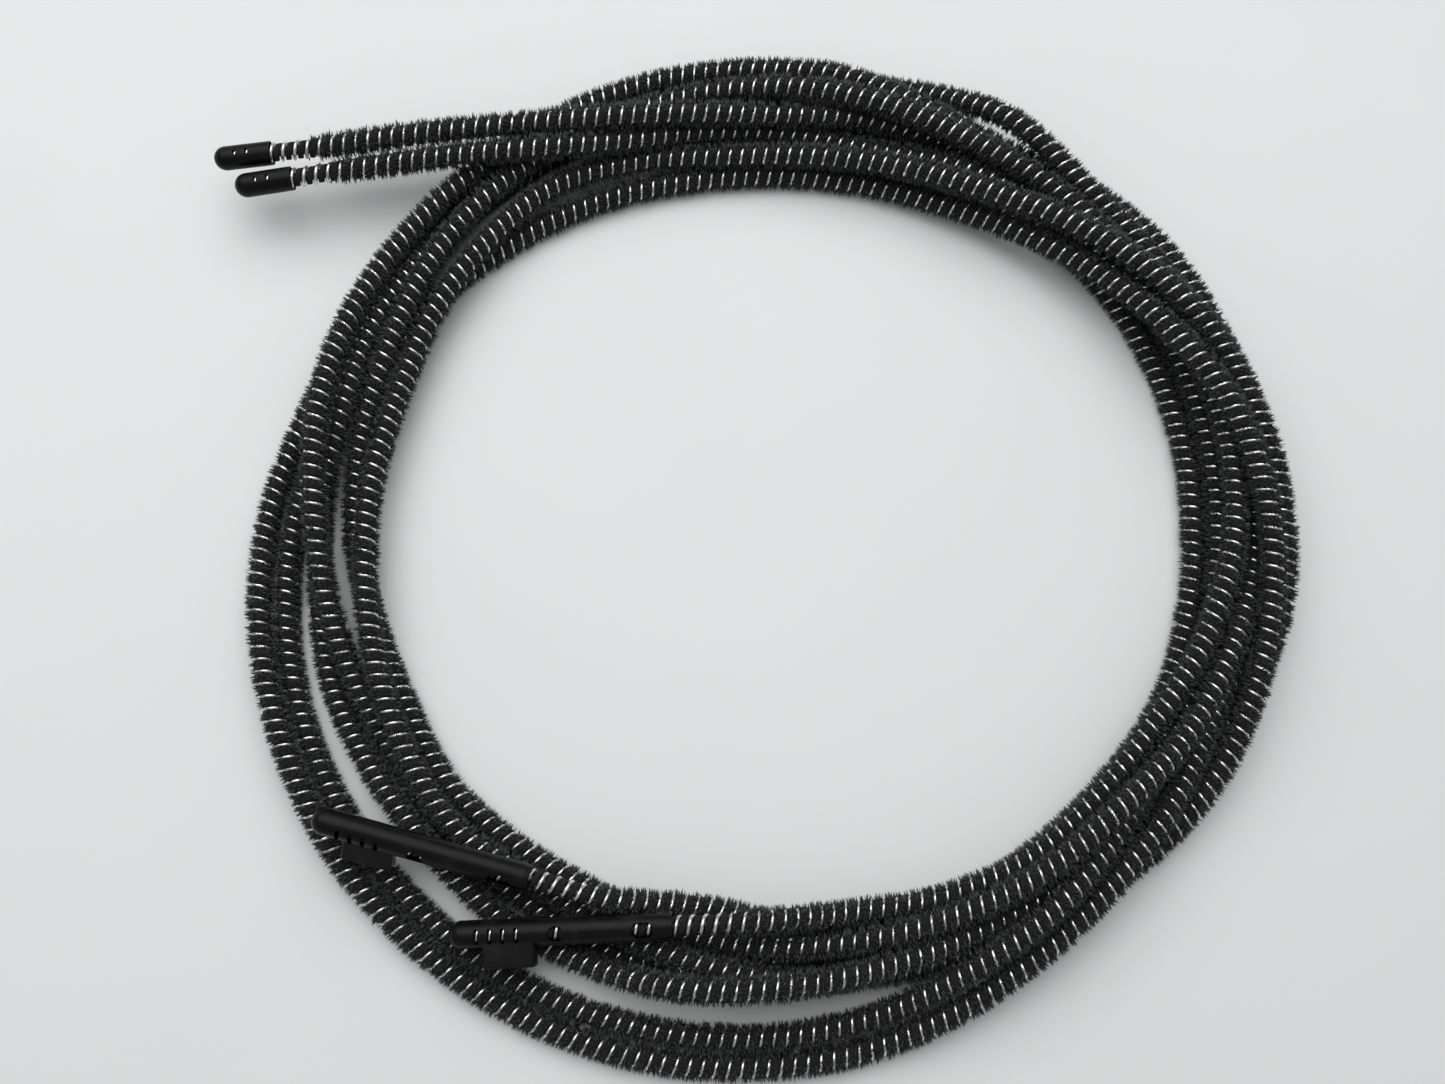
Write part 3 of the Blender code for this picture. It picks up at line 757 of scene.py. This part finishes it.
class Finish:
    """A material under construction, with its Principled shader."""

    def __init__(self, name, **constants):
        self.material = bpy.data.materials.new(name)
        self.material.use_nodes = True
        self.tree = self.material.node_tree
        self.shader = self.tree.nodes["Principled BSDF"]
        for socket, value in constants.items():
            self.shader.inputs[socket.replace("_", " ")].default_value = value

    def add(self, kind, settings=None, sockets=None, output=0):
        """A node of that type: its settings first, then its sockets' values or links."""
        node = self.tree.nodes.new(kind)
        for key, value in (settings or {}).items():
            setattr(node, key, value)
        for key, value in (sockets or {}).items():
            self.put(node.inputs[key], value)
        return Value(self, node.outputs[output])

    def put(self, socket, value):
        if isinstance(value, Value):
            self.tree.links.new(value.socket, socket)
        else:
            socket.default_value = value

    def drive(self, **sockets):
        """Links what changes over the surface into the shader."""
        for socket, value in sockets.items():
            self.put(self.shader.inputs[socket.replace("_", " ")], value)

    def where(self):
        return self.add("ShaderNodeTexCoord", output="Object")

    def noise(self, scale, detail=3.0, roughness=0.55):
        sockets = {"Vector": self.where(), "Scale": scale, "Detail": detail, "Roughness": roughness}
        return self.add("ShaderNodeTexNoise", None, sockets)

    def attribute(self, name):
        return self.add("ShaderNodeAttribute", {"attribute_name": name}, output="Fac")

    def between(self, low, high, value):
        """The value mapped from low..high to 0..1, smoothly."""
        settings = {"interpolation_type": "SMOOTHSTEP"}
        sockets = {"Value": value, "From Min": low, "From Max": high}
        return self.add("ShaderNodeMapRange", settings, sockets)

    def mixed(self, share, one, other):
        settings = {"data_type": "RGBA"}
        return self.add("ShaderNodeMix", settings, {0: share, 6: one, 7: other}, output=2)

    def bump(self, height, strength, distance):
        sockets = {"Height": height, "Strength": strength, "Distance": distance}
        return self.add("ShaderNodeBump", None, sockets)


def grey(level, warmth=0.0):
    return (level * (1 + warmth), level, level * (1 - warmth), 1)


def black_moulding():
    """Semi-gloss black plastic with faint flow marks and rubbed patches."""
    finish = Finish("black_moulding", Specular_IOR_Level=0.14)
    rubbed = finish.between(0.5, 0.75, finish.noise(260.0, 5.0))
    grain = finish.noise(2600.0, 2.0)
    finish.drive(
        Base_Color=finish.mixed(rubbed, grey(0.004), grey(0.009)),
        Roughness=0.3 + 0.12 * rubbed + 0.06 * grain,
        Normal=finish.bump(grain + 0.8 * rubbed, 0.05, 0.00005),
    )
    return finish.material


def bright_wire():
    """Drawn steel wire, bright, with a thin uneven film of oil."""
    finish = Finish("bright_wire", Metallic=1.0)
    film = finish.between(0.42, 0.7, finish.noise(420.0, 4.0))
    drawn = finish.noise(5200.0, 2.0)
    finish.drive(
        Base_Color=finish.mixed(film, grey(0.76, 0.01), grey(0.46, 0.04)),
        Roughness=0.22 + 0.12 * film + 0.06 * drawn,
        Normal=finish.bump(drawn, 0.1, 0.00004),
    )
    return finish.material


def dull_core():
    """Twisted strand, dark with old grease in its valleys."""
    finish = Finish("dull_core", Metallic=1.0)
    grease = finish.between(0.35, 0.6, finish.noise(900.0, 4.0))
    finish.drive(
        Base_Color=finish.mixed(grease, grey(0.2, 0.03), grey(0.05, 0.02)),
        Roughness=0.4 + 0.25 * grease,
    )
    return finish.material


def yarn_body():
    """The dense dark body of the yarn under its bristles."""
    finish = Finish("yarn_body", Specular_IOR_Level=0.25)
    fibres = finish.noise(3800.0, 4.0, 0.7)
    matted = finish.noise(700.0, 3.0)
    finish.drive(
        Base_Color=finish.mixed(matted, grey(0.006, -0.02), grey(0.016, -0.02)),
        Roughness=0.78 + 0.15 * fibres,
        Normal=finish.bump(fibres + matted, 0.9, 0.0002),
    )
    return finish.material


def charcoal_bristle():
    """Charcoal pile fibres, each tuft with its own tone, with painted shade at the root and painted light
    at the tip.
    """
    finish = Finish("charcoal_bristle", Specular_IOR_Level=0.35)
    height = finish.attribute("height")
    tone = finish.attribute("tone")
    matted = finish.noise(600.0, 3.0)
    paleness = 0.5 * tone + 0.5 * matted
    tip = finish.mixed(paleness, grey(0.042, -0.04), grey(0.15, -0.04))
    finish.drive(
        # The bristle's height mixes painted shade at its root into painted light at its tip.
        Base_Color=finish.mixed(height, grey(0.012, -0.02), tip),
        Roughness=0.55 + 0.2 * tone,
    )
    return finish.material


def pale_table():
    """A pale painted surface with faint mottling."""
    finish = Finish("pale_table", Specular_IOR_Level=0.3)
    mottle = finish.noise(14.0, 4.0)
    fine = finish.noise(700.0, 2.0)
    finish.drive(
        Base_Color=finish.mixed(mottle, grey(0.76, -0.004), grey(0.80, -0.004)),
        Roughness=0.5 + 0.12 * fine,
    )
    return finish.material


# ---------------------------------------------------------------- the object


def frame_shift(lines):
    """How far the frame is from the route's own origin, read where a cable's extremes are."""
    low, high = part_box("left_pile_winding")
    free = lines[0][2:-2]
    middle = (free.min(axis=0) + free.max(axis=0)) / 2
    shift = np.array((low + high) / 2) / MM - middle
    return np.array([shift[0], shift[1], 0.0])


def drive_cable(side, cable, route, shift, rng, finishes):
    roll = cable["roll"]
    line = MiddleLine(route, shift, roll, cable["crest"])
    nose, mouth = route[0] + shift, route[1] + shift
    tip, cap_mouth = route[-1] + shift, route[-2] + shift
    sleeve = driver_sleeve(side, fitting_matrix(nose, mouth - nose, roll), finishes["moulding"])
    cap = end_cap(side, fitting_matrix(tip, cap_mouth - tip), finishes["moulding"])
    wire = rack_wire(side, line, finishes["wire"])
    core = core_strand(side, line, finishes["core"])
    yarn = pile_yarn(side, line, finishes["yarn"])
    tufts = bristles(side, line, rng, finishes["bristle"])
    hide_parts(f"{side}_driver_sleeve")
    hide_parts(f"{side}_end_cap")
    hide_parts(f"{side}_rack_wire_driver_end", f"{side}_rack_wire_cap_end")
    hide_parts(f"{side}_core_strand")
    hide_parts(f"{side}_pile_winding")


def cable_pair():
    routes = settle([laid_line(cable) for cable in CABLES.values()])
    shift = frame_shift(routes)
    finishes = {
        "moulding": black_moulding(),
        "wire": bright_wire(),
        "core": dull_core(),
        "yarn": yarn_body(),
        "bristle": charcoal_bristle(),
    }
    rng = np.random.default_rng(BRISTLE_SEED)
    for (side, cable), route in zip(CABLES.items(), routes):
        drive_cable(side, cable, route, shift, rng, finishes)
    return shift


# ---------------------------------------------------------------- table, light and camera


def table_top(finish):
    shape = bmesh.new()
    bmesh.ops.create_grid(shape, x_segments=2, y_segments=2, size=TABLE_SIDE / 2 * MM)
    floor = add_shape("table_top", shape)
    floor.data.materials.append(finish)


def soft_light():
    """A wide window light, above the coil and a little to its left."""
    light = bpy.data.lights.new("window", "AREA")
    light.spread = math.radians(LIGHT_SPREAD)
    light.shape = "RECTANGLE"
    light.size, light.size_y = [side * MM for side in LIGHT_SIZE]
    light.energy = LIGHT_POWER
    lamp = bpy.data.objects.new("window", light)
    bpy.context.scene.collection.objects.link(lamp)
    lamp.location = Vector(LIGHT_PLACE) * MM
    aim = Vector(LIGHT_TARGET) - Vector(LIGHT_PLACE)
    lamp.rotation_euler = aim.to_track_quat("-Z", "Y").to_euler()


def surroundings():
    """Even light from the room."""
    world = bpy.data.worlds.new("room")
    bpy.context.scene.world = world
    world.use_nodes = True
    background = world.node_tree.nodes["Background"]
    background.inputs["Color"].default_value = grey(0.9, -0.01)
    background.inputs["Strength"].default_value = ROOM_LIGHT


def camera(shift):
    data = bpy.data.cameras.new("camera")
    data.lens = LENS
    data.sensor_width = SENSOR
    data.clip_start = NEAR_CLIP * MM
    viewer = bpy.data.objects.new("camera", data)
    bpy.context.scene.collection.objects.link(viewer)
    tilt = math.radians(VIEW_TILT)
    target = (Vector(VIEW_TARGET) + Vector(shift)) * MM
    back = Vector((0, -math.sin(tilt), math.cos(tilt)))
    viewer.location = target + back * VIEW_DISTANCE * MM
    viewer.rotation_euler = (-back).to_track_quat("-Z", "Y").to_euler()
    bpy.context.scene.camera = viewer


shift = cable_pair()
table_top(pale_table())
surroundings()
soft_light()
camera(shift)
bpy.context.scene.view_settings.view_transform = "Standard"
